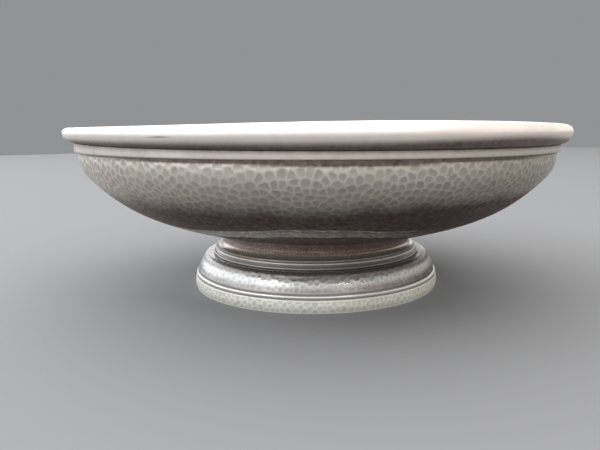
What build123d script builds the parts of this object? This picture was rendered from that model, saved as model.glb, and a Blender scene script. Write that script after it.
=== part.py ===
"""Footed dish of hammered pewter, made of eight soldered pieces.

The origin is on the surface the dish stands on, at the centre of its foot. +Z is up, in millimetres.
Every piece is a ring or shell about the Z axis, so each one is a half section turned round that axis.
"""
from build123d import *
import os

os.makedirs("parts", exist_ok=True)

# Overall sizes
rim_radius = 115.0
dish_height = 76.6
sheet = 1.6

# Bowl: the outside of its hammered wall
bowl_bottom = 21.5
wall_radius = 109.2
wall_straight = 64.8
inner_steps = 8

# Rim lip: a rounded nose with a large radius below it and a small one above it
nose_height = 73.8
under_nose = 5.3
over_nose = 2.8
lip_bottom = 68.5
seat_height = 73.4
inner_round = 1.4

# Rim band
band_bottom = 65.6
band_radius = 110.7

# Foot neck: hammered above, a smooth cove below
neck_top_radius = 45.0
neck_foot_radius = 45.8
cove_top = 22.2
cove_bottom = 19.6
cove_radius = 48.0
cove_round = 3.4
neck_bottom = 14.3
neck_overlap = 8.0

# Reeded wire: a large bead against the cove, and a small one below it and further out
bead_round = 0.85
bead_height = 18.4
small_bead_round = 0.6
small_bead_radius = 49.75
small_bead_height = 16.55

# Foot dome: a narrow ledge, a shoulder, a leaning side and a straight skirt
ledge_inner_height = 15.75
ledge_outer_height = 16.2
ledge_outer_radius = 53.1
shoulder_middle = (54.35, 15.55)
shoulder_bottom = (55.15, 14.3)
side_middle = (56.6, 11.8)
skirt_radius = 58.2
skirt_top = 7.7
skirt_bottom = 0.0

# Base wire and base band
wire_bottom = 5.9
wire_middle = (59.05, 6.85)
wire_foot_radius = 58.8
base_radius = 59.6
base_rest_radius = 59.0
base_top_radius = 59.2
base_top = 5.6
edge_round = 0.3


def bowl_curve():
    """The outside of the bowl's wall, from the middle of its bottom to its straight edge."""
    return Spline(
        (0, bowl_bottom),
        (46, 26.2),
        (74, 33.5),
        (92, 42.5),
        (104.4, 53.4),
        (wall_radius, wall_straight),
        tangents=((1, 0), (0, 1)),
    )


def inner_point(curve, along):
    """The point one sheet thickness inside the curve, at a fraction of its length."""
    place = curve.position_at(along)
    direction = curve.tangent_at(along)
    return place + Vector(-direction.Y, direction.X) * sheet


# The full inside of the bowl's outer face, used to cut the neck to the bowl
with BuildPart() as bowl_envelope:
    with BuildSketch(Plane.XZ):
        with BuildLine():
            outline = bowl_curve()
            Polyline(outline @ 1, (0, wall_straight), outline @ 0)
        make_face()
    revolve(axis=Axis.Z)

# Bowl: sheet of one thickness that follows the curve and ends in the lip's seat
with BuildPart() as bowl:
    with BuildSketch(Plane.XZ):
        with BuildLine():
            outside = bowl_curve()
            inside = Spline(
                *[inner_point(outside, step / inner_steps) for step in range(inner_steps + 1)],
                tangents=((1, 0), (0, 1)),
            )
            Polyline(
                inside @ 1,
                (wall_radius - sheet, seat_height),
                (wall_radius, seat_height),
                outside @ 1,
            )
            Line(outside @ 0, inside @ 0)
        make_face()
    revolve(axis=Axis.Z)

# Rim lip: caps the bowl's edge, with a step that sits on it
with BuildPart() as rim_lip:
    with BuildSketch(Plane.XZ):
        with BuildLine():
            underside = RadiusArc(
                (rim_radius - under_nose, lip_bottom),
                (rim_radius, nose_height),
                -under_nose,
            )
            crown = RadiusArc(underside @ 1, (rim_radius - over_nose, dish_height), -over_nose)
            inner_radius = wall_radius - sheet
            top = Line(crown @ 1, (inner_radius + inner_round, dish_height))
            lining = RadiusArc(top @ 1, (inner_radius, dish_height - inner_round), -inner_round)
            Polyline(
                lining @ 1,
                (inner_radius, seat_height),
                (wall_radius, seat_height),
                (wall_radius, lip_bottom),
                underside @ 0,
            )
        make_face()
    revolve(axis=Axis.Z)

# Rim band: a flat strip round the wall, with its two outer edges softened
with BuildPart() as rim_band:
    with BuildSketch(Plane.XZ):
        with BuildLine():
            Polyline(
                (wall_radius, band_bottom),
                (band_radius, band_bottom),
                (band_radius, lip_bottom),
                (wall_radius, lip_bottom),
                close=True,
            )
        band_section = make_face()
        fillet(band_section.vertices().group_by(Axis.X)[-1], edge_round)
    revolve(axis=Axis.Z)

# Foot neck: the hammered neck, the cove, and the tail that the wire and the dome are soldered to
with BuildPart() as foot_neck:
    with BuildSketch(Plane.XZ):
        with BuildLine():
            neck_side = Line((neck_top_radius, bowl_bottom + neck_overlap), (neck_foot_radius, cove_top))
            cove = RadiusArc(neck_side @ 1, (cove_radius, cove_bottom), -cove_round)
            Line(cove @ 1, (cove_radius, neck_bottom))
            offset(amount=sheet, side=Side.RIGHT)
        make_face()
    revolve(axis=Axis.Z)
    add(bowl_envelope.part, mode=Mode.SUBTRACT)

# Reeded wire: the two beads on one thin back
with BuildPart() as reeded_wire:
    with BuildSketch(Plane.XZ):
        with Locations((cove_radius + bead_round, bead_height)):
            Circle(bead_round)
        with Locations((small_bead_radius, small_bead_height)):
            Circle(small_bead_round)
        with BuildLine():
            Polyline(
                (cove_radius, small_bead_height - small_bead_round),
                (small_bead_radius, small_bead_height - small_bead_round),
                (small_bead_radius, small_bead_height),
                (cove_radius + bead_round, bead_height - bead_round),
                (cove_radius + bead_round, bead_height + bead_round),
                (cove_radius, bead_height + bead_round),
                close=True,
            )
        make_face()
    revolve(axis=Axis.Z)

# Foot dome: ledge, shoulder, leaning side and skirt, all in one sheet
with BuildPart() as foot_dome:
    with BuildSketch(Plane.XZ):
        with BuildLine():
            ledge = Line((cove_radius, ledge_inner_height), (ledge_outer_radius, ledge_outer_height))
            shoulder = ThreePointArc(ledge @ 1, shoulder_middle, shoulder_bottom)
            side = ThreePointArc(shoulder @ 1, side_middle, (skirt_radius, skirt_top))
            Line(side @ 1, (skirt_radius, skirt_bottom))
            offset(amount=sheet, side=Side.RIGHT)
        make_face()
    revolve(axis=Axis.Z)

# Base wire: a smooth round moulding on the skirt
with BuildPart() as base_wire:
    with BuildSketch(Plane.XZ):
        with BuildLine():
            back = Line((skirt_radius, skirt_top), (skirt_radius, wire_bottom))
            foot_edge = Line(back @ 1, (wire_foot_radius, wire_bottom))
            ThreePointArc(foot_edge @ 1, wire_middle, back @ 0)
        make_face()
    revolve(axis=Axis.Z)

# Base band: a slightly bulging strip round the foot of the skirt, flush with it below
with BuildPart() as base_band:
    with BuildSketch(Plane.XZ):
        with BuildLine():
            bulge = ThreePointArc(
                (base_rest_radius, 0),
                (base_radius, base_top / 2),
                (base_top_radius, base_top),
            )
            Polyline(bulge @ 1, (skirt_radius, base_top), (skirt_radius, 0), bulge @ 0)
        band_outline = make_face()
        fillet(band_outline.vertices().group_by(Axis.X)[-1], edge_round)
    revolve(axis=Axis.Z)

pieces = {
    "bowl": bowl,
    "rim_lip": rim_lip,
    "rim_band": rim_band,
    "foot_neck": foot_neck,
    "reeded_wire": reeded_wire,
    "foot_dome": foot_dome,
    "base_wire": base_wire,
    "base_band": base_band,
}
for name, piece in pieces.items():
    piece.part.label = name
    export_step(piece.part, f"parts/{name}.step")
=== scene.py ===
import math

import bmesh
import bpy
import numpy as np
from mathutils import Matrix, Vector
from mathutils.kdtree import KDTree


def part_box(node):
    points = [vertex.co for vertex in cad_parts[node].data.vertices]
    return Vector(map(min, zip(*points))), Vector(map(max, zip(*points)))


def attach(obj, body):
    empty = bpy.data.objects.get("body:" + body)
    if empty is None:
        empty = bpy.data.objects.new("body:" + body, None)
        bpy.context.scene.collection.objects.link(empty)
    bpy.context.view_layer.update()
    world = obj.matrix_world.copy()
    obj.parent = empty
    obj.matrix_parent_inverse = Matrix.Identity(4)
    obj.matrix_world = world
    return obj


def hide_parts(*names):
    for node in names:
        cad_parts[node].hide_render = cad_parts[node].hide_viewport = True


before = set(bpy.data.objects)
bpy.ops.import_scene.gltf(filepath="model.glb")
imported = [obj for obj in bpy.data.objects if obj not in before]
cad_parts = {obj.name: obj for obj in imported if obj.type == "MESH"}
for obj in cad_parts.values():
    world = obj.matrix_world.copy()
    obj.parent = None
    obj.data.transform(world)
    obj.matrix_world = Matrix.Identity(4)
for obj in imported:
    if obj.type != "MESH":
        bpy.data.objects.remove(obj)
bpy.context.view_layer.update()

MM = 0.001

# Points of a mesh that are nearer to each other than this are one point
TOUCH = 1e-7

# Levels and radii of the dish, read from the frame
RIM_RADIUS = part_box("rim_lip")[1].x
RIM_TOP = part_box("rim_lip")[1].z
BAND_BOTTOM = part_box("rim_band")[0].z
BAND_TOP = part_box("rim_band")[1].z
WALL_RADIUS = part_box("bowl")[1].x
BOWL_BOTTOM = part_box("bowl")[0].z
FOOT_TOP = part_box("foot_dome")[1].z
SKIRT_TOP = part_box("base_wire")[1].z

# Places within a piece's section: the lip's widest level, the neck's face and lower edge, the level between
# the two beads, the ledge's outer edge and the base band's face
NOSE_LEVEL = RIM_TOP - 2.8 * MM
NECK_RADIUS = 45.0 * MM
NECK_EDGE = 22.2 * MM
WIRE_GAP = 17.2 * MM
LEDGE_RADIUS = 53.0 * MM
BASE_FACE = 58.7 * MM

# Directions round the dish, seen from above, in radians: the photographed side is the front
FRONT = math.radians(-90)
LEFT = math.pi

# Hand-made irregularity: the bowl leans on its foot, and the rim's crown is thicker on one side
LEAN = 0.0105
SHIFT = 0.45 * MM
CROWN_THIN = 1.9 * MM
CROWN_EXTRA = 2.0 * MM
CROWN_SIDE = math.radians(-70)
CROWN_SPREAD = math.radians(48)
SEAT_RISE = 1.1 * MM
SEAT_SIDE = math.radians(-165)
SEAT_SPREAD = math.radians(42)

# Steps of the bowl's mesh: on the hammered wall, on the lining, and where another piece hides it
WALL_STEP = 0.74 * MM
LINING_STEP = 1.5 * MM
HIDDEN_STEP = 2.2 * MM

# A vertex this near to a ridge between hammer marks moves onto it
WALL_SNAP = 0.26 * MM
LINING_SNAP = 0.5 * MM

# Hammer marks: the distance between their middles, their depth, and how round their corners are, in pitches
WALL_PITCH = 3.1 * MM
WALL_DEPTH = 0.17 * MM
LINING_PITCH = 5.2 * MM
LINING_DEPTH = 0.2 * MM
NECK_PITCH = 1.25 * MM
NECK_DEPTH = 0.1 * MM
DOME_PITCH = 2.6 * MM
DOME_DEPTH = 0.07 * MM
BASE_PITCH = 2.5 * MM
BASE_DEPTH = 0.06 * MM
ROUNDING = 0.09

# The colour of full tarnish and of full painted shade
SHADE_AND_TARNISH_COLOUR = (0.08, 0.046, 0.039, 1)

# Height and half width of each painted reflection streak round the bowl's underside
REFLECTION_STREAKS = ((39.3 * MM, 0.5 * MM), (37.7 * MM, 0.4 * MM), (36.4 * MM, 0.55 * MM))

# The floor is a disc, and cards of sky stand in a ring just outside it
FLOOR_RADIUS = 1.9
FLOOR_SIDES = 128
SKY_CARDS = 6
SKY_DISTANCE = 2.0
SKY_HEIGHT = 0.9


# ---------------------------------------------------------------- turned meshes

def section(node):
    """The node's half section at +X, read off its mesh's seam: its points in order, and if they close."""
    work = bmesh.new()
    work.from_mesh(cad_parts[node].data)
    bmesh.ops.remove_doubles(work, verts=work.verts, dist=TOUCH)
    seam = [e for e in work.edges if all(abs(v.co.y) < TOUCH and v.co.x > -TOUCH for v in e.verts)]
    ways = {}
    for edge in seam:
        for vert in edge.verts:
            ways.setdefault(vert, []).append(edge)
    ends = sorted((v for v in ways if len(ways[v]) == 1), key=lambda v: v.co.z)
    start = ends[0] if ends else min(ways, key=lambda v: (round(v.co.z, 6), v.co.x))
    points = [start]
    used = set()
    while True:
        step = next((e for e in ways[points[-1]] if e not in used), None)
        if step is None:
            break
        used.add(step)
        points.append(step.other_vert(points[-1]))
    chain = np.array([(v.co.x, v.co.z) for v in points])
    work.free()
    closed = not ends
    if closed:
        chain = chain[:-1]
        area = np.sum(chain[:, 0] * np.roll(chain[:, 1], -1) - np.roll(chain[:, 0], -1) * chain[:, 1])
        if area < 0:
            chain = chain[::-1]
    return chain, closed


def smooth_run(points, spacing):
    """Points along a Catmull-Rom curve through a run of points, at about the spacing given for each place."""
    samples = 24
    count = len(points)
    padded = np.vstack([2 * points[0] - points[1], points, 2 * points[-1] - points[-2]])
    dense = []
    for i in range(count - 1):
        a, b, c, d = padded[i:i + 4]
        for t in np.linspace(0, 1, samples, endpoint=False):
            dense.append(0.5 * (2 * b + (c - a) * t + (2 * a - 5 * b + 4 * c - d) * t ** 2
                                + (3 * b - a - 3 * c + d) * t ** 3))
    dense.append(points[-1])
    dense = np.array(dense)
    lengths = np.linalg.norm(np.diff(dense, axis=0), axis=1)
    middle = (dense[1:] + dense[:-1]) / 2
    weight = np.concatenate([[0], np.cumsum(lengths / np.array([spacing(*p) for p in middle]))])
    steps = max(1, round(weight[-1]))
    where = np.linspace(0, weight[-1], steps + 1)
    return np.column_stack([np.interp(where, weight, dense[:, k]) for k in (0, 1)])


def refine(chain, closed, spacing, corner=math.radians(28)):
    """The chain with even small steps: smooth between its corners, and with the corners kept."""
    if closed:
        before = chain - np.roll(chain, 1, axis=0)
        after = np.roll(chain, -1, axis=0) - chain
        turn = np.abs(np.angle(np.exp(1j * (np.arctan2(after[:, 1], after[:, 0])
                                            - np.arctan2(before[:, 1], before[:, 0])))))
        sharpest = int(np.argmax(turn))
        chain = np.roll(chain, -sharpest, axis=0)
        turn = np.roll(turn, -sharpest)
        chain = np.vstack([chain, chain[:1]])
        turn = np.append(turn, turn[0])
    else:
        steps = np.diff(chain, axis=0)
        angles = np.arctan2(steps[:, 1], steps[:, 0])
        turn = np.concatenate([[math.pi], np.abs(np.angle(np.exp(1j * np.diff(angles)))), [math.pi]])
    corners = [i for i in range(len(chain)) if turn[i] > corner or i in (0, len(chain) - 1)]
    runs = [smooth_run(chain[a:b + 1], spacing)[:-1] for a, b in zip(corners, corners[1:])]
    if not closed:
        runs.append(chain[-1:])
    return np.vstack(runs)


def zip_rings(first, n, second, m):
    """Faces between two rings of points that start at the same angle, whatever their counts."""
    if n == m:
        return [(first + j, second + j, second + (j + 1) % m, first + (j + 1) % n) for j in range(n)]
    faces = []
    i = j = 0
    while i < n or j < m:
        if m == 1 or (n > 1 and (i + 1) * m <= (j + 1) * n):
            faces.append((first + i, second + j % m, first + (i + 1) % n))
            i += 1
            if m == 1 and i == n:
                break
        else:
            faces.append((first + i % n, second + j, second + (j + 1) % m))
            j += 1
            if n == 1 and j == m:
                break
    return faces


def turned(name, chain, closed, counts):
    """A mesh of revolution about Z, with the number of points given for each ring."""
    verts = []
    rings = []
    for (r, z), count in zip(chain, counts):
        rings.append((len(verts), count))
        turns = np.arange(count) * (2 * math.pi / count)
        verts += [(r * math.cos(t), r * math.sin(t), z) for t in turns]
    followers = rings[1:] + rings[:1] if closed else rings[1:]
    faces = []
    for (first, n), (second, m) in zip(rings, followers):
        faces += zip_rings(first, n, second, m)
    mesh = bpy.data.meshes.new(name)
    mesh.from_pydata(verts, [], faces)
    mesh.update()
    work = bmesh.new()
    work.from_mesh(mesh)
    bmesh.ops.recalc_face_normals(work, faces=work.faces)
    work.to_mesh(mesh)
    work.free()
    piece = bpy.data.objects.new(name, mesh)
    bpy.context.scene.collection.objects.link(piece)
    return piece


def coordinates(mesh):
    """Every vertex's place, one row each."""
    values = np.empty(len(mesh.vertices) * 3, np.float32)
    mesh.vertices.foreach_get("co", values)
    return values.reshape(-1, 3).astype(float)


def move_to(mesh, places):
    mesh.vertices.foreach_set("co", places.astype(np.float32).ravel())
    mesh.update()


def paint(piece, name, values):
    """Stores one value for each vertex, for the material to read."""
    layer = piece.data.attributes.get(name) or piece.data.attributes.new(name, "FLOAT", "POINT")
    layer.data.foreach_set("value", np.asarray(values, np.float32))


def piece_values(mesh, name):
    """The values painted on a mesh, or zeros."""
    values = np.zeros(len(mesh.vertices), np.float32)
    if name in mesh.attributes:
        mesh.attributes[name].data.foreach_get("value", values)
    return values.astype(float)


def remember_places(piece):
    """Keeps each vertex's place before hammering and bending, so that shape and colour use the same marks."""
    layer = piece.data.attributes.new("rest", "FLOAT_VECTOR", "POINT")
    layer.data.foreach_set("vector", coordinates(piece.data).astype(np.float32).ravel())


def near(value, centre, width):
    """1 at the centre, falling smoothly to nothing on both sides."""
    return np.exp(-((value - centre) / width) ** 2)


def facing(turn, side, spread):
    """1 at one side of the dish, falling off round it, but not past 180 degrees. Both are in degrees."""
    return near(turn, math.radians(side), math.radians(spread))


def away(turn, side):
    """The angle from one side of the dish, the short way round, in radians."""
    return np.angle(np.exp(1j * (turn - side)))


def ramp(value, low, high):
    """0 below one value and 1 above another, smooth between them."""
    t = np.clip((value - low) / (high - low), 0, 1)
    return t * t * (3 - 2 * t)


# ---------------------------------------------------------------- nodes

def link(tree, source, target):
    tree.links.new(source, target)


def put(tree, socket, value):
    """Sets a socket to a number or colour, or links it to another node's output."""
    if isinstance(value, bpy.types.NodeSocket):
        tree.links.new(value, socket)
    else:
        socket.default_value = value


def math_node(tree, operation, a, b=0.0):
    """The result of a sum on two numbers or sockets."""
    node = tree.nodes.new("ShaderNodeMath")
    node.operation = operation
    put(tree, node.inputs[0], a)
    put(tree, node.inputs[1], b)
    return node.outputs[0]


def fit(tree, value, low, high, to_low=0.0, to_high=1.0):
    """The value mapped smoothly from one range to another."""
    node = tree.nodes.new("ShaderNodeMapRange")
    node.interpolation_type = "SMOOTHSTEP"
    for socket, number in zip(node.inputs, (value, low, high, to_low, to_high)):
        put(tree, socket, number)
    return node.outputs[0]


def noise(tree, where, size, detail, roughness):
    """Cloudy noise from 0 to 1, with blots of about the size given."""
    node = tree.nodes.new("ShaderNodeTexNoise")
    link(tree, where, node.inputs["Vector"])
    put(tree, node.inputs["Scale"], 1 / size)
    put(tree, node.inputs["Detail"], detail)
    put(tree, node.inputs["Roughness"], roughness)
    return node.outputs[0]


def scatter(chain, pitch, seed):
    """Centres of hammer marks, spread evenly but not regularly over the surface that the chain sweeps."""
    tries_each = 16
    samples_each = 40
    gap = 0.80 * pitch
    random = np.random.default_rng(seed)
    start, end = chain[:-1], chain[1:]
    areas = math.pi * (start[:, 0] + end[:, 0]) * np.linalg.norm(end - start, axis=1)
    wanted = int(tries_each * areas.sum() / pitch ** 2)
    part = random.choice(len(areas), wanted, p=areas / areas.sum())
    along = random.random((wanted, 1))
    spots = start[part] * (1 - along) + end[part] * along
    turns = random.random(wanted) * 2 * math.pi
    spots = np.column_stack([spots[:, 0] * np.cos(turns), spots[:, 0] * np.sin(turns), spots[:, 1]])
    taken = {}
    chosen = []
    around = [(x, y, z) for x in (-1, 0, 1) for y in (-1, 0, 1) for z in (-1, 0, 1)]
    for spot, home in zip(spots.tolist(), np.floor(spots / gap).astype(int).tolist()):
        beside = (taken.get((home[0] + x, home[1] + y, home[2] + z), ()) for x, y, z in around)
        if any(math.dist(spot, other) < gap for group in beside for other in group):
            continue
        taken.setdefault(tuple(home), []).append(spot)
        chosen.append(spot)
    centres = np.array(chosen)
    tree = index_tree(centres)
    sample = spots[:samples_each * len(centres)]
    owner = np.array([tree.find(spot)[1] for spot in sample])
    count = np.maximum(np.bincount(owner, minlength=len(centres)), 1)
    middles = np.column_stack([np.bincount(owner, sample[:, k], len(centres)) / count for k in range(3)])
    return centres * 0.5 + middles * 0.5


def index_tree(points):
    """A search tree that finds the points nearest to a place."""
    tree = KDTree(len(points))
    for i, point in enumerate(points):
        tree.insert(point, i)
    tree.balance()
    return tree


def hammer(piece, chosen, chain, pitch, depth, seed, snap):
    """Sinks round-edged marks into the chosen vertices, and moves those near a ridge onto it.

    Stores each vertex's distance from the nearest ridge between marks ("edge", in pitches) and a number for
    each mark ("each"), for the material to read."""
    centres = scatter(chain, pitch, seed)
    tree = index_tree(centres)
    own = np.random.default_rng(seed + 1).random(len(centres))
    mesh = piece.data
    places = coordinates(mesh)
    normals = np.empty(len(mesh.vertices) * 3, np.float32)
    mesh.vertex_normals.foreach_get("vector", normals)
    normals = normals.reshape(-1, 3).astype(float)
    edge = piece_values(mesh, "edge")
    each = piece_values(mesh, "each")
    for i in np.flatnonzero(chosen > 0):
        (one, first, near_gap), *others = tree.find_n(places[i], 4)
        gaps = [(gap ** 2 - near_gap ** 2) / (2 * (other - one).length) for other, _, gap in others]
        if gaps[0] < snap:
            places[i] += np.array((others[0][0] - one).normalized()) * gaps[0]
            gaps[0] = 0.0
        rounded = sum(math.exp(-gap / (ROUNDING * pitch)) for gap in gaps)
        edge[i] = max(0.0, -ROUNDING * math.log(rounded))
        each[i] = own[first]
    hollow = ramp(edge, 0.0, 0.42)
    uneven = 0.65 + 0.5 * each
    places -= normals * (depth * hollow * uneven * chosen)[:, None]
    move_to(mesh, places)
    paint(piece, "edge", edge)
    paint(piece, "each", each)


def painted_reflection_streaks(tree, where, level):
    """Painted reflections: thin wavy bright lines round the bowl's underside, as a share of the tarnish and
    painted shade that they lift.
    """
    for size, detail, roughness, swing in ((17 * MM, 3.0, 0.6, 3.2 * MM), (4.5 * MM, 2.0, 0.5, 1.6 * MM)):
        wave = math_node(tree, "SUBTRACT", noise(tree, where, size, detail, roughness), 0.5)
        level = math_node(tree, "ADD", level, math_node(tree, "MULTIPLY", wave, swing))
    total = 0.0
    for height, width in REFLECTION_STREAKS:
        gap = math_node(tree, "ABSOLUTE", math_node(tree, "SUBTRACT", level, height))
        total = math_node(tree, "ADD", total, fit(tree, gap, 0.0, width, 1.0, 0.0))
    broken = fit(tree, noise(tree, where, 8 * MM, 2.0, 0.5), 0.38, 0.6, 0.3, 1.0)
    return math_node(tree, "MULTIPLY", total, broken)


def pewter(name, ridge=(0.87, 0.80, 0.71), hollow=(0.55, 0.51, 0.44), roughness=0.33, core=(0.02, 0.17),
           mark_bump=0.05, metal=1.0, painted_reflections=0.0):
    """Old pewter. Hammer marks show as bright worn ridges round darker, greener hollows.

    The core is where, in pitches from a ridge, the hollow's colour begins and where it is full."""
    material = bpy.data.materials.new(name)
    material.use_nodes = True
    tree = material.node_tree
    tree.nodes.clear()
    shader = tree.nodes.new("ShaderNodeBsdfPrincipled")
    output = tree.nodes.new("ShaderNodeOutputMaterial")
    link(tree, shader.outputs[0], output.inputs["Surface"])

    def painted(attribute, output_name="Fac"):
        node = tree.nodes.new("ShaderNodeAttribute")
        node.attribute_name = attribute
        return node.outputs[output_name]

    def blend(share, a, b):
        node = tree.nodes.new("ShaderNodeMix")
        node.data_type = "RGBA"
        put(tree, node.inputs[0], share)
        put(tree, node.inputs[6], a)
        put(tree, node.inputs[7], b)
        return node.outputs[2]

    def centred(value, share):
        """Noise moved to lie round 0, and scaled."""
        return math_node(tree, "MULTIPLY", math_node(tree, "SUBTRACT", value, 0.5), share)

    where = painted("rest", "Vector")
    clouds = noise(tree, where, 22 * MM, 4.0, 0.6)
    spots = noise(tree, where, 2.2 * MM, 3.0, 0.6)
    grain = noise(tree, where, 0.45 * MM, 2.0, 0.6)
    duller = [0.88 * share for share in ridge]
    colour = blend(fit(tree, clouds, 0.35, 0.7), (*ridge, 1), (*duller, 1))
    cloudy_rough = fit(tree, clouds, 0.3, 0.7, roughness - 0.04, roughness + 0.05)
    rough = math_node(tree, "ADD", cloudy_rough, centred(grain, 0.12))
    bump_height = math_node(tree, "MULTIPLY", grain, 0.010 * MM)
    ragged = math_node(tree, "ADD", painted("edge"), centred(spots, 0.15))
    hollows = math_node(tree, "MULTIPLY", fit(tree, ragged, *core), painted("hammered"))
    tone = math_node(tree, "MULTIPLY", hollows, fit(tree, painted("each"), 0.0, 1.0, 0.75, 1.0))
    colour = blend(tone, colour, (*hollow, 1))
    rough = math_node(tree, "ADD", rough, math_node(tree, "MULTIPLY", hollows, 0.06))
    marks = math_node(tree, "MULTIPLY", fit(tree, painted("edge"), 0.0, 0.3), painted("hammered"))
    bump_height = math_node(tree, "SUBTRACT", bump_height, math_node(tree, "MULTIPLY", marks, mark_bump * MM))
    # Darkens by the painted values: tarnish together with painted shade, lessened where a highlight or
    # reflection is painted
    dark = math_node(tree, "MULTIPLY", painted("tarnish_and_shade"), fit(tree, spots, 0.2, 0.8, 0.85, 1.0))
    # Painted reflections: bright wavy streaks clear part of the darkening on the bowl's underside
    if painted_reflections:
        clear = math_node(tree, "MULTIPLY", painted_reflection_streaks(tree, where, painted("level")), painted_reflections)
        dark = math_node(tree, "MULTIPLY", dark, math_node(tree, "SUBTRACT", 1.0, clear))
    colour = blend(dark, colour, SHADE_AND_TARNISH_COLOUR)
    rough = math_node(tree, "ADD", rough, math_node(tree, "MULTIPLY", dark, 0.18))
    bump = tree.nodes.new("ShaderNodeBump")
    put(tree, bump.inputs["Strength"], 1.0)
    put(tree, bump.inputs["Distance"], 1.0)
    put(tree, bump.inputs["Height"], bump_height)
    put(tree, shader.inputs["Base Color"], colour)
    put(tree, shader.inputs["Roughness"], rough)
    shader.inputs["Metallic"].default_value = metal
    link(tree, bump.outputs[0], shader.inputs["Normal"])
    return material


# ---------------------------------------------------------------- pieces

def crown_share(turn):
    """How high the lip's crown is at an angle round the rim, as a share of its height in the frame."""
    extra = CROWN_EXTRA * near(away(turn, CROWN_SIDE), 0, CROWN_SPREAD)
    return (CROWN_THIN + extra) / (RIM_TOP - NOSE_LEVEL)


def seat_rise(turn):
    """How much higher than in the frame the joint between lip and band lies: it climbs on the left."""
    return SEAT_RISE * near(away(turn, SEAT_SIDE), 0, SEAT_SPREAD)


def lean(places):
    """The bowl sits a little crooked on its foot: higher at -X, lower at +X."""
    places = places.copy()
    share = ramp(places[:, 2], BOWL_BOTTOM - 1.5 * MM, BOWL_BOTTOM + 3 * MM)
    places[:, 2] -= LEAN * places[:, 0] * share
    places[:, 0] += SHIFT * share
    return places


def waver(turn, seed, size):
    """A slow random wave round the dish, the same each run."""
    random = np.random.default_rng(seed)
    total = np.zeros_like(turn)
    for count in (3, 5, 8, 13, 21, 34):
        total += random.normal() / math.sqrt(count) * np.cos(count * turn + random.uniform(0, 2 * math.pi))
    return total * size


def finish_piece(piece, node, material):
    """Gives the piece its material, and puts it in the place of a node of the frame."""
    piece.data.materials.clear()
    piece.data.materials.append(material)
    piece.data.shade_smooth()
    piece.data.set_sharp_from_angle(angle=math.radians(50))
    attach(piece, "root")
    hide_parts(node)


def ring_counts(chain, spacing):
    """Points on each ring for a given spacing, which may depend on the place."""
    return [max(1, round(2 * math.pi * r / spacing(r, z))) for r, z in chain]


def outside_tarnish_and_shade(piece, height, turn, is_inside):
    """How dark the bowl is outside: a groove under the band, in tarnish and painted shade; painted shade on
    the underside, lessened on the left by painted light, with a paler strip of painted reflection; and
    painted shade on one side.

    Stores the height that the material's painted reflection streaks follow ("level")."""
    # Tarnish and painted shade: a dark groove on the wall under the band, deeper at the front
    groove_depth = (0.8 + 1.05 * facing(turn, -85, 30)) * MM
    joint_tarnish_and_shade = ramp(height, BAND_BOTTOM - groove_depth - 0.4 * MM, BAND_BOTTOM - groove_depth) * 0.95
    wander = waver(turn, 31, 1.2 * MM)
    # Painted shade: darker towards the underside, less so on the left, where painted light falls
    underside_shade = 0.9 * (1 - ramp(height + wander, 43 * MM, 54 * MM))
    underside_shade += 0.15 * (1 - ramp(height, 48 * MM, 63 * MM))
    underside_shade *= 1 - 0.45 * near(away(turn, LEFT), 0, math.radians(45))
    front = away(turn, FRONT)
    level = height + 4.6 * MM * (1 - near(front, 0, math.radians(30)))
    paint(piece, "level", np.where(is_inside, 1.0, level))
    level = level + 0.2 * wander
    # Painted reflection: a paler wavy strip round the underside, strongest at the front left
    clear = 0.34 + 0.42 * near(front, math.radians(-42), math.radians(22))
    underside_shade *= 1 - clear * ramp(level, 35.5 * MM, 36.1 * MM) * (1 - ramp(level, 39.2 * MM, 39.8 * MM))
    # Painted shade: darker at the front right
    right = 0.38 * facing(turn, -40, 32)
    return np.clip(np.maximum(joint_tarnish_and_shade, underside_shade + right), 0, 1)


def lining_tarnish_and_shade(radius, height, turn):
    """How dark the bowl's lining is: painted shade all over, deeper round the foot of its wall, with a cloudy
    uneven tone.
    """
    cloudy = waver(turn, 36, 0.05) * ramp(radius, 20 * MM, 80 * MM)
    return 0.62 + cloudy + 0.12 * near(height, 33 * MM, 6 * MM)


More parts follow.
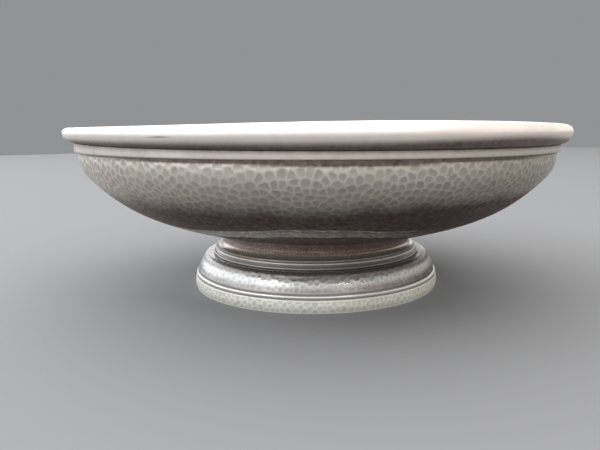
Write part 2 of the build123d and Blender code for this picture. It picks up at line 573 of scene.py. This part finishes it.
def make_bowl(material):
    """The bowl in one shell: even fine rings outside, where the deep marks are, and coarser ones inside."""
    chain, closed = section("bowl")
    top = int(np.argmax(chain[:, 1]))
    outer, inner = chain[:top + 1], chain[top:]
    if outer[0, 1] > inner[-1, 1]:
        outer, inner = inner[::-1], outer[::-1]
        chain = chain[::-1]
    middle_r = np.interp(outer[:, 1], *(inner[::-1] if inner[0, 1] > inner[-1, 1] else inner).T[::-1])
    middle = np.column_stack([outer[:, 1], (outer[:, 0] + middle_r) / 2])

    def inside(r, z):
        return r < np.interp(z, middle[:, 0], middle[:, 1])

    def spacing(r, z):
        if z > BAND_BOTTOM or (r < NECK_RADIUS and not inside(r, z)):
            return HIDDEN_STEP
        return LINING_STEP if inside(r, z) else WALL_STEP

    chain = refine(chain, closed, spacing)
    piece = turned("bowl_shell", chain, closed, ring_counts(chain, spacing))
    remember_places(piece)
    places = coordinates(piece.data)
    radius = np.hypot(places[:, 0], places[:, 1])
    height = places[:, 2]
    turn = np.arctan2(places[:, 1], places[:, 0])
    is_inside = inside(radius, height)
    marks = 1 - ramp(height, BAND_BOTTOM - 1.5 * MM, BAND_BOTTOM - 0.7 * MM)
    outside_marks = marks * ~is_inside * ramp(radius, NECK_RADIUS - 4 * MM, NECK_RADIUS)
    inside_marks = 0.45 * (1 - ramp(height, BAND_BOTTOM - 2 * MM, BAND_BOTTOM)) * is_inside
    side = np.array([inside(r, z) for r, z in chain])
    hammer(piece, outside_marks, chain[~side], WALL_PITCH, WALL_DEPTH, 21, WALL_SNAP)
    hammer(piece, inside_marks, chain[side], LINING_PITCH, LINING_DEPTH, 22, LINING_SNAP)
    paint(piece, "hammered", outside_marks + inside_marks * 1.5)
    outside = outside_tarnish_and_shade(piece, height, turn, is_inside)
    # Tarnish and painted shade outside, painted shade in the lining
    paint(piece, "tarnish_and_shade", np.where(is_inside, lining_tarnish_and_shade(radius, height, turn), outside))
    move_to(piece.data, lean(coordinates(piece.data)))
    finish_piece(piece, "bowl", material)


def make_lip(material):
    """The rim's lip, with its uneven crown, a nick at the front left, painted shade on its underside with a
    dark joint at the band, and a darker flat top inside the crown.
    """
    fine = 0.28 * MM
    coarse = 0.6 * MM
    around = 900
    chain, closed = section("rim_lip")
    chain = refine(chain, closed, lambda r, z: fine if r > WALL_RADIUS + 0.2 * MM else coarse)
    piece = turned("rim_lip_smooth", chain, closed, [around] * len(chain))
    remember_places(piece)
    places = coordinates(piece.data)
    turn = np.arctan2(places[:, 1], places[:, 0])
    radius = np.hypot(places[:, 0], places[:, 1])
    height = places[:, 2]
    # Painted shade on the lip's underside down to the band, reaching higher at the front left, with a dark
    # joint at the band
    reach = (3.5 + 1.7 * facing(turn, -52, 22)) * MM
    joint_tarnish_and_shade = (1 - ramp(height, BAND_TOP + reach - 2.8 * MM, BAND_TOP + reach)) * 0.9
    flat_top = 0.6 * (1 - ramp(radius, RIM_RADIUS - 3.5 * MM, RIM_RADIUS - 1.5 * MM)) * (height > NOSE_LEVEL)
    nick = near(turn, math.radians(-116), 3.6 * MM / RIM_RADIUS)
    nick = nick * near(height, NOSE_LEVEL - 1.1 * MM, 0.17 * MM)
    nick = nick * (radius > RIM_RADIUS - 2 * MM)
    paint(piece, "tarnish_and_shade", np.maximum(np.maximum(joint_tarnish_and_shade, flat_top), np.clip(nick * 1.3, 0, 0.85)))
    above = height > NOSE_LEVEL
    places[above, 2] = NOSE_LEVEL + (height[above] - NOSE_LEVEL) * crown_share(turn[above])
    outer_share = ramp(radius, WALL_RADIUS + 0.5 * MM, RIM_RADIUS - 1 * MM)
    places[:, 2] += seat_rise(turn) * (1 - ramp(height, BAND_TOP, NOSE_LEVEL - 1 * MM))
    push = waver(turn, 4, 0.05 * MM) * outer_share - 0.07 * MM * nick
    places[:, :2] *= (1 + push / radius)[:, None]
    places[:, 2] += waver(turn, 9, 0.06 * MM) * outer_share * ramp(height, BAND_TOP, NOSE_LEVEL)
    move_to(piece.data, lean(places))
    finish_piece(piece, "rim_lip", material)


def make_ring(name, node, around, step, material, tarnish_and_shade, wave, seed, leaning=False,
              pitch=None, depth=0.0, marked=None):
    """A ring piece about Z, smooth or hammered, and uneven by a wave whose size is in millimetres."""
    chain, closed = section(node)
    chain = refine(chain, closed, lambda r, z: step)
    piece = turned(name, chain, closed, [around] * len(chain))
    remember_places(piece)
    places = coordinates(piece.data)
    radius = np.hypot(places[:, 0], places[:, 1])
    height = places[:, 2]
    # Paints the piece's tarnish and painted shade, for the material to read
    paint(piece, "tarnish_and_shade", np.clip(tarnish_and_shade(height, np.arctan2(places[:, 1], places[:, 0])), 0, 1))
    if pitch:
        chosen = marked(radius, height)
        swept = chain[marked(*chain.T) > 0]
        swept = swept[np.argsort(swept[:, 1])]
        paint(piece, "hammered", chosen)
        hammer(piece, chosen, swept, pitch, depth, seed + 30, 0.35 * step)
    places = coordinates(piece.data)
    turn = np.arctan2(places[:, 1], places[:, 0])
    radius = np.hypot(places[:, 0], places[:, 1])
    if node == "rim_band":
        places[:, 2] += seat_rise(turn) * ramp(places[:, 2], BAND_BOTTOM + 0.8 * MM, BAND_TOP - 0.4 * MM)
    push = waver(turn, seed, wave * MM) * ramp(radius, radius.min() + 0.5 * MM, radius.max())
    places[:, :2] *= (1 + push / radius)[:, None]
    move_to(piece.data, lean(places) if leaning else places)
    finish_piece(piece, node, material)


def make_band(material):
    """The rim's flat band, with painted shade at its top, in the joint under the lip."""
    def tarnish_and_shade(height, turn):
        # Painted shade towards the top of the band, in the joint under the lip
        return 0.47 + 0.36 * ramp(height, BAND_TOP - 1.5 * MM, BAND_TOP - 0.1 * MM)

    make_ring("rim_band_smooth", "rim_band", 900, 0.4 * MM, material, tarnish_and_shade, 0.03, 5,
              leaning=True)


def make_neck(material):
    """The neck: dark and finely hammered above, with a painted glint along its lower edge and painted light
    on its left side, and a paler smooth cove below.
    """
    def tarnish_and_shade(height, turn):
        cove = 1 - ramp(height, NECK_EDGE - 1 * MM, NECK_EDGE)
        # Painted highlight: a glint along the neck's lower edge
        painted_glint = near(height, NECK_EDGE + 0.8 * MM, 0.45 * MM)
        # Painted light: paler towards the left side
        return 0.98 - 0.88 * cove - 0.3 * painted_glint - 0.35 * facing(turn, -160, 40)

    def marked(radius, height):
        on_face = radius > NECK_RADIUS - 0.7 * MM
        return ramp(height, NECK_EDGE - 0.6 * MM, NECK_EDGE + 0.2 * MM) * on_face

    make_ring("foot_neck_hammered", "foot_neck", 760, 0.37 * MM, material, tarnish_and_shade, 0.05, 6,
              leaning=True, pitch=NECK_PITCH, depth=NECK_DEPTH, marked=marked)


def make_reeded_wire(material):
    """The two beads, with painted shade on the lower bead and in the gap between them, and at the front
    right.
    """
    def tarnish_and_shade(height, turn):
        # Painted shade on the lower bead and the gap below the upper one, and at the front right
        return 0.1 + 0.3 * (1 - ramp(height, WIRE_GAP, WIRE_GAP + 0.4 * MM)) + 0.35 * facing(turn, -65, 35)

    make_ring("reeded_wire_beads", "reeded_wire", 720, 0.2 * MM, material, tarnish_and_shade, 0.04, 7)


def make_dome(material):
    """The foot's dome, with painted shade round its shoulder under the bowl, lighter on the ledge, and
    painted shade low down and at the front right.
    """
    def tarnish_and_shade(height, turn):
        # Painted shade: round the shoulder under the bowl (less on the ledge), low down, and at the front
        # right
        shoulder = ramp(height, FOOT_TOP - 3.3 * MM, FOOT_TOP - 1.7 * MM)
        ledge = ramp(height, FOOT_TOP - 1.4 * MM, FOOT_TOP - 0.7 * MM)
        low = 1 - ramp(height, 9.2 * MM, 12 * MM)
        return 0.62 * shoulder * (1 - 0.8 * ledge) + 0.55 * low + 0.5 * facing(turn, -22, 34)

    def marked(radius, height):
        return (radius > LEDGE_RADIUS) * ramp(height, SKIRT_TOP + 0.4 * MM, SKIRT_TOP + 1.2 * MM)

    make_ring("foot_dome_hammered", "foot_dome", 640, 0.55 * MM, material, tarnish_and_shade, 0.05, 8,
              pitch=DOME_PITCH, depth=DOME_DEPTH, marked=marked)


def make_base_wire(material):
    """The thin moulding round the dome's foot, with painted shade where it meets the band below."""
    def tarnish_and_shade(height, turn):
        # Painted shade low on the moulding, where it meets the band below
        return 0.2 * (1 - ramp(height, 5.9 * MM, 6.5 * MM))

    make_ring("base_wire_smooth", "base_wire", 720, 0.2 * MM, material, tarnish_and_shade, 0.05, 10)


def make_base_band(material):
    """The hammered band at the bottom, with painted shade along its top edge."""
    def tarnish_and_shade(height, turn):
        # Painted shade: darker towards the band's top edge
        return 0.2 * ramp(height, 3.4 * MM, 5.4 * MM)

    def marked(radius, height):
        return (radius > BASE_FACE) * ramp(height, 0, 0.8 * MM) * (1 - ramp(height, 4.6 * MM, 5.4 * MM))

    make_ring("base_band_hammered", "base_band", 640, 0.5 * MM, material, tarnish_and_shade, 0.05, 11,
              pitch=BASE_PITCH, depth=BASE_DEPTH, marked=marked)


def make_dish():
    """All eight pieces, with a material for each kind of surface."""
    wall = pewter("hammered_wall", painted_reflections=0.8)
    smooth = pewter("smooth_pewter_worn", ridge=(0.92, 0.84, 0.775), roughness=0.4)
    neck = pewter("hammered_neck", ridge=(0.50, 0.42, 0.36), hollow=(0.2, 0.16, 0.13), roughness=0.22,
                  metal=0.72)
    wires = pewter("smooth_pewter_wire", ridge=(0.66, 0.635, 0.60), roughness=0.33, metal=0.65)
    dome = pewter("hammered_foot", ridge=(0.57, 0.56, 0.54), hollow=(0.43, 0.425, 0.40), roughness=0.22,
                  core=(0.0, 0.22), mark_bump=0.01, metal=0.88)
    base = pewter("hammered_base", ridge=(0.80, 0.785, 0.72), hollow=(0.53, 0.53, 0.45), roughness=0.5,
                  core=(0.0, 0.22), mark_bump=0.02, metal=0.45)
    make_bowl(wall)
    make_lip(smooth)
    make_band(smooth)
    make_neck(neck)
    make_reeded_wire(wires)
    make_dome(dome)
    make_base_wire(wires)
    make_base_band(base)


# ---------------------------------------------------------------- floor, light and camera

def plain_floor():
    """A plain pale disc under the dish."""
    mesh = bpy.data.meshes.new("floor")
    turns = np.arange(FLOOR_SIDES) * (2 * math.pi / FLOOR_SIDES)
    edge = [(FLOOR_RADIUS * math.cos(turn), FLOOR_RADIUS * math.sin(turn), 0) for turn in turns]
    mesh.from_pydata(edge, [], [tuple(range(FLOOR_SIDES))])
    floor = bpy.data.objects.new("floor", mesh)
    bpy.context.scene.collection.objects.link(floor)
    material = bpy.data.materials.new("pale_floor")
    material.use_nodes = True
    shader = material.node_tree.nodes["Principled BSDF"]
    shader.inputs["Base Color"].default_value = (0.2, 0.2, 0.203, 1)
    shader.inputs["Roughness"].default_value = 0.9
    shader.inputs["Specular IOR Level"].default_value = 0.2
    mesh.materials.append(material)


def area_light(name, place, target, width, depth, brightness, colour=(1, 1, 1)):
    """A rectangle of even brightness, seen in reflections but not by the camera."""
    lamp = bpy.data.lights.new(name, "AREA")
    lamp.shape = "RECTANGLE"
    lamp.size = width
    lamp.size_y = depth
    lamp.energy = brightness * math.pi * width * depth
    lamp.color = colour
    holder = bpy.data.objects.new(name, lamp)
    holder.location = place
    holder.rotation_euler = (Vector(target) - Vector(place)).to_track_quat("-Z", "Y").to_euler()
    holder.visible_camera = False
    bpy.context.scene.collection.objects.link(holder)


def lights():
    """A ring of soft cards, cooler and brighter on the left, one card overhead, and two small windows."""
    world = bpy.data.worlds.new("studio")
    world.use_nodes = True
    background = world.node_tree.nodes["Background"]
    background.inputs["Color"].default_value = (0.94, 0.97, 1.0, 1)
    background.inputs["Strength"].default_value = 0.3
    bpy.context.scene.world = world
    bpy.context.scene.view_settings.view_transform = "Standard"
    area_light("overhead", (-0.4, 0, 1.4), (-0.4, 0, 0), 3.0, 3.0, 2.1)
    for card in range(SKY_CARDS):
        turn = FRONT + 2 * math.pi / SKY_CARDS * card
        right = math.cos(turn)
        place = (SKY_DISTANCE * right, SKY_DISTANCE * math.sin(turn), SKY_HEIGHT)
        colour = (1.0 + 0.05 * right, 1.0, 1.0 - 0.07 * right)
        area_light(f"sky_card_{card + 1}", place, (0, 0, 0.3), 2.3, 1.75, 1.3 - 0.6 * right, colour)
    foot = (0, 0, 0.02)
    area_light("left_window", (-0.53, -0.33, 0.56), foot, 0.6, 0.15, 3.6)
    area_light("right_window", (0.35, -0.56, 0.55), foot, 0.13, 0.09, 20.0)


def camera():
    """The photograph's view: from in front, level with the rim, looking a little down and to the left."""
    distance = 0.2963
    height = 0.07562
    down = 0.1609
    aside = -0.0253
    roll = -0.0137
    ahead = Vector((math.sin(aside) * math.cos(down), math.cos(aside) * math.cos(down), -math.sin(down)))
    right = ahead.cross(Vector((0, 0, 1))).normalized()
    up = right.cross(ahead)
    right, up = (right * math.cos(roll) + up * math.sin(roll), up * math.cos(roll) - right * math.sin(roll))
    lens = bpy.data.cameras.new("camera")
    lens.sensor_width = 36
    lens.lens = 36
    lens.clip_start = 0.01
    holder = bpy.data.objects.new("camera", lens)
    turn = Matrix((right, up, -ahead)).transposed().to_4x4()
    holder.matrix_world = Matrix.Translation((0, -distance, height)) @ turn
    bpy.context.scene.collection.objects.link(holder)
    bpy.context.scene.camera = holder


make_dish()
plain_floor()
lights()
camera()
